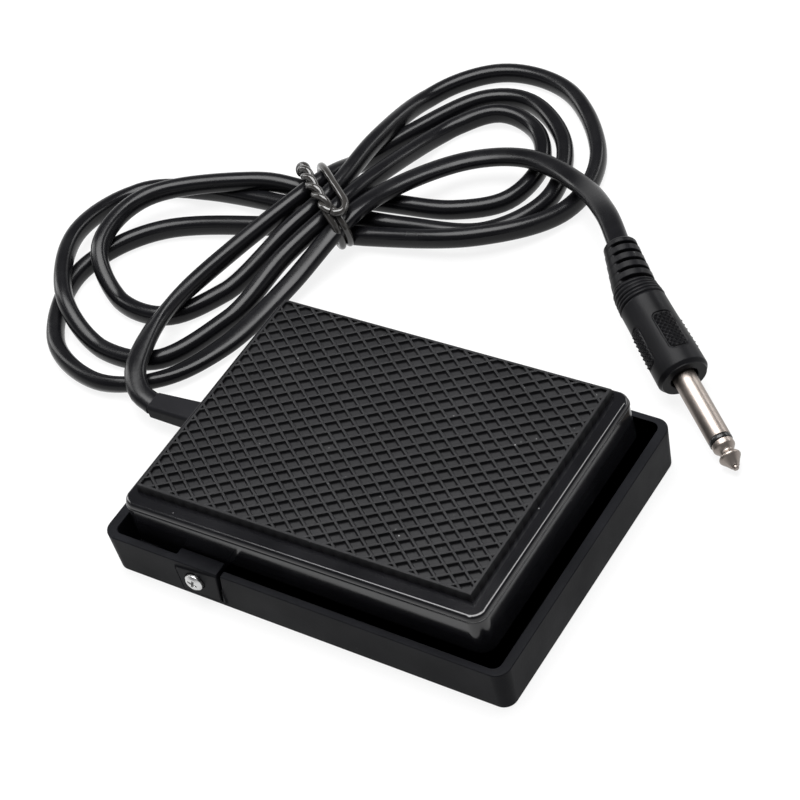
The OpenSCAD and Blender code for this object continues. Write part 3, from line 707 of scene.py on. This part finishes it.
def make_mat():
    """A slab of waffle sheet: sunk lozenges between crossing ridges, with a plain edge strip."""
    half_x, half_y = MAT_L / 2, MAT_W / 2
    inner_x, inner_y = half_x - EDGE_STRIP, half_y - EDGE_STRIP
    # inset from the cell's edge, height below the top
    steps = [(0.0, -0.02), (0.17, 0.0), (0.3, -0.07), (0.46, -POCKET + 0.15), (0.6, -POCKET)]
    reach = 1 / math.hypot(1 / (CELL_X / 2), 1 / (CELL_Y / 2))
    bm = bmesh.new()
    count_x, count_y = int(half_x / CELL_X * 2) + 2, int(half_y / CELL_Y * 2) + 2
    for i in range(-count_x, count_x + 1):
        for j in range(-count_y, count_y + 1):
            if (i + j) % 2:
                continue
            cx, cy = i * CELL_X / 2, j * CELL_Y / 2
            last = None
            for inset, z in steps:
                k = 1 - inset / reach
                ring = [bm.verts.new((cx + dx * k * CELL_X / 2, cy + dy * k * CELL_Y / 2, z))
                        for dx, dy in ((1, 0), (0, 1), (-1, 0), (0, -1))]
                if last:
                    for n in range(4):
                        bm.faces.new((last[n], last[(n + 1) % 4], ring[(n + 1) % 4], ring[n]))
                last = ring
            bm.faces.new(last)
    bmesh.ops.remove_doubles(bm, verts=bm.verts, dist=0.002)
    cut_to(bm, inner_x, inner_y)

    def level(co):
        return Vector((co.x, co.y, 0))

    def outward(distance, z):
        def move(co):
            x, y = co.x, co.y
            if abs(x) > inner_x - 0.01:
                x = math.copysign(inner_x + distance, x)
            if abs(y) > inner_y - 0.01:
                y = math.copysign(inner_y + distance, y)
            wave = 0.0
            if z < SCALLOP_BELOW:
                beside = x if abs(y) > inner_y else y
                wave = SCALLOP_DEPTH * abs(math.sin(math.pi * beside / SCALLOP))
            return Vector((x + math.copysign(wave, x) * (abs(x) > inner_x),
                           y + math.copysign(wave, y) * (abs(y) > inner_y), z))
        return move

    grow_edge(bm, level)
    grow_edge(bm, outward(EDGE_STRIP - 0.18, 0))
    grow_edge(bm, outward(EDGE_STRIP - 0.04, -0.06))
    grow_edge(bm, outward(EDGE_STRIP, -0.2))
    grow_edge(bm, outward(EDGE_STRIP, -MAT_T + 0.55))
    grow_edge(bm, outward(EDGE_STRIP, -MAT_T))
    bmesh.ops.recalc_face_normals(bm, faces=bm.faces)
    place = treadle_matrix() @ Matrix.Translation((MAT_MIDDLE[0], MAT_MIDDLE[1], MAT_T))
    bm.transform(Matrix.Scale(MM, 4) @ place)
    mesh = bpy.data.meshes.new("waffle_mat")
    bm.to_mesh(mesh)
    bm.free()
    finish_mesh(mesh, 20)
    obj = bpy.data.objects.new("waffle_mat", mesh)
    scene.collection.objects.link(obj)
    return obj


# ---------------------------------------------------------------- treadle and tray

def rounded_outline(length, width, radius, per_corner=10):
    """Points round a rectangle whose rear edge is at x = 0."""
    out = []
    corners = [(length - radius, width / 2 - radius, 0), (radius, width / 2 - radius, 90),
               (radius, -width / 2 + radius, 180), (length - radius, -width / 2 + radius, 270)]
    for cx, cy, start in corners:
        for k in range(per_corner + 1):
            a = math.radians(start + 90 * k / per_corner)
            out.append((cx + radius * math.cos(a), cy + radius * math.sin(a)))
    return out


BEAD_Z, BEAD_R = -1.75, 0.24


def make_treadle():
    """The shell, with the fine raised line that runs round it below the rounded edge."""
    shell = softened("treadle", "treadle_shell", 0.3, 3, 40)
    place = treadle_matrix()
    outline = rounded_outline(TREADLE_L, TREADLE_W, TREADLE_R)
    line = [place @ Vector((x, y, BEAD_Z)) for x, y in outline]
    bead = sweep("bead", line, lambda i: circle(BEAD_R, 8), looped=True)
    return joined("treadle_shell", shell, bead)


# ---------------------------------------------------------------- inner pieces

def make_spring():
    """A coil with closed ends, as wound."""
    turns, per_turn, radius, wire = 7.0, 36, 5.0, 0.55
    centre_x, low, high = 22, 3.2, 20.4
    line = []
    for i in range(round(turns * per_turn) + 1):
        turn = i / per_turn
        share = smooth_step(turn, 0, turns)
        a = 2 * math.pi * turn
        line.append((centre_x + radius * math.cos(a), radius * math.sin(a),
                     low + (high - low) * share))
    return sweep("spring_coil", line, lambda i: circle(wire, 12))


WIRE_R = 0.75
WIRES = {
    "brown": [(-47, 5, 6.5), (-40, 6, 6), (-34, 8, 5), (-28, 9.6, 4.2), (-23, 9.4, 4.8)],
    "blue": [(-47, 3, 6.5), (-38, 2, 6), (-28, 0.5, 5), (-18, 1.6, 4.4), (-13, 5.6, 4.2),
             (-9.5, 8.6, 4.8)],
}


def make_wire(colour):
    """An insulated conductor from the cord's end to a blade of the switch."""
    line = evenly(catmull(WIRES[colour], 12), 0.6)
    return sweep(colour + "_lead", line, lambda i: circle(WIRE_R, 12))


# ---------------------------------------------------------------- stage

def make_room():
    """A pale wall all round that darkens towards the ceiling."""
    world = bpy.data.worlds.new("room")
    scene.world = world
    world.use_nodes = True
    tree = world.node_tree
    place = tree.nodes.new("ShaderNodeTexCoord")
    split = tree.nodes.new("ShaderNodeSeparateXYZ")
    tree.links.new(place.outputs["Generated"], split.inputs[0])
    colour = ramp(tree, split.outputs["Z"], (0.1, 0.42), ((0.95, 0.95, 0.95), (0.1, 0.1, 0.103)))
    tree.links.new(colour, tree.nodes["Background"].inputs["Color"])


def make_stage():
    """A wide pale table under a softbox overhead, with weaker lights behind and to the left."""
    mat, tree, shader, place = new_material("table")
    colour = ramp(tree, noise(tree, place, 3, 2), (0.3, 0.7), ((0.1, 0.1, 0.1), (0.11, 0.11, 0.11)))
    tree.links.new(colour, shader.inputs["Base Color"])
    shader.inputs["Roughness"].default_value = 0.9
    shader.inputs["Specular IOR Level"].default_value = 0
    shader.inputs["Emission Color"].default_value = (1, 1, 1, 1)
    shader.inputs["Emission Strength"].default_value = 0.86
    reach, top = 3000, -0.05
    corners = [(-reach, -reach, top), (reach, -reach, top), (reach, reach, top),
               (-reach, reach, top)]
    floor = mesh_object("table", corners, [(0, 1, 2, 3)])
    floor.data.materials.append(mat)
    make_room()
    lamps = [("overhead", (-0.1, 0.16, 1.0), (-0.02, 0.03, 0), (0.85, 0.85), 26),
             ("left", (-1.1, 0.1, 0.55), (-0.02, 0.03, 0), (0.3, 0.9), 5),
             ("behind", (0.5, 1.1, 0.5), (0, 0.03, 0), (0.9, 0.25), 4)]
    for name, at, aim, size, power in lamps:
        data = bpy.data.lights.new(name, "AREA")
        data.shape, data.size, data.size_y, data.energy = "RECTANGLE", *size, power
        lamp = bpy.data.objects.new(name, data)
        lamp.location = at
        lamp.rotation_euler = (Vector(aim) - Vector(at)).to_track_quat("-Z", "Y").to_euler()
        scene.collection.objects.link(lamp)
    scene.view_settings.view_transform = "Standard"


# ---------------------------------------------------------------- putting it together

make_camera()
cord_points = cord_line()
jacket_mat, tray_mat, tie_mat = cord_jacket(), tray_plastic(), tie_plastic()
nickel, zinc, brass, sheet_mat = plug_nickel(), zinc_screw(), bush_brass(), sheet_rubber()

cord = dress(make_cord(cord_points), "base", "cord_jacket", jacket_mat, "cord")
tie = dress(make_tie(), "base", "tie_plastic", tie_mat, "twist_tie")
handle = dress(make_handle(), "base", "handle_plastic", handle_plastic(), "plug_handle")
barrel, ring, tip = make_plug_metal()
dress(barrel, "base", "plug_nickel", nickel, "plug_sleeve")
dress(ring, "base", "insulator_plastic", insulator_plastic(), "plug_insulator")
dress(tip, "base", "plug_nickel", nickel, "plug_tip")
relief = dress(softened("cord_sleeve", "strain_relief", 0.25, 3), "base", "sleeve_rubber",
               sleeve_rubber(), "cord_sleeve")
entry = dress(softened("cord_entry", "cord_inner_end", 0.15), "base", "cord_jacket", jacket_mat,
              "cord_entry")

dress(softened("base_tray", "tray_moulding", 0.32, 3), "base", "tray_plastic", tray_mat,
      "base_tray")
dress(softened("foot_sheet", "grip_sheet", 0.2), "base", "sheet_rubber", sheet_mat, "foot_sheet")
dress(make_treadle(), "treadle_arm", "treadle_plastic", treadle_plastic(), "treadle")
dress(make_mat(), "treadle_arm", "mat_rubber", mat_rubber(), "tread_mat")
dress(softened("pivot_screws", "hinge_screws", 0.12, 3), "base", "zinc_screw", zinc, "pivot_screws")
dress(softened("pivot_bushes", "hinge_bushes", 0.1), "treadle_arm", "bush_brass", brass,
      "pivot_bushes")
coil = make_spring()
coil.data.materials.append(spring_steel())
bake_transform(coil)
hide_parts("return_spring")
dress(softened("stop_pads", "rubber_stops", 0.3, 3), "base", "sheet_rubber", sheet_mat, "stop_pads")
dress(softened("switch_body", "switch_housing", 0.2), "base", "switch_plastic",
      switch_plastic(), "switch_body")
dress(softened("switch_plunger", "switch_button", 0.12), "plunger", "plunger_plastic",
      plunger_plastic(), "switch_plunger")
dress(softened("switch_terminals", "terminal_blades", 0.08), "base", "bush_brass", brass,
      "switch_terminals")
dress(softened("switch_screws", "housing_screws", 0.1), "base", "zinc_screw", zinc, "switch_screws")
dress(softened("cord_clamp", "clamp_bar", 0.25), "base", "tray_plastic", tray_mat, "cord_clamp")
dress(softened("clamp_screws", "clamp_bar_screws", 0.12), "base", "zinc_screw", zinc,
      "clamp_screws")
dress(make_wire("brown"), "base", "brown_wire", brown_wire(), "lead_brown")
dress(make_wire("blue"), "base", "blue_wire", blue_wire(), "lead_blue")
make_stage()
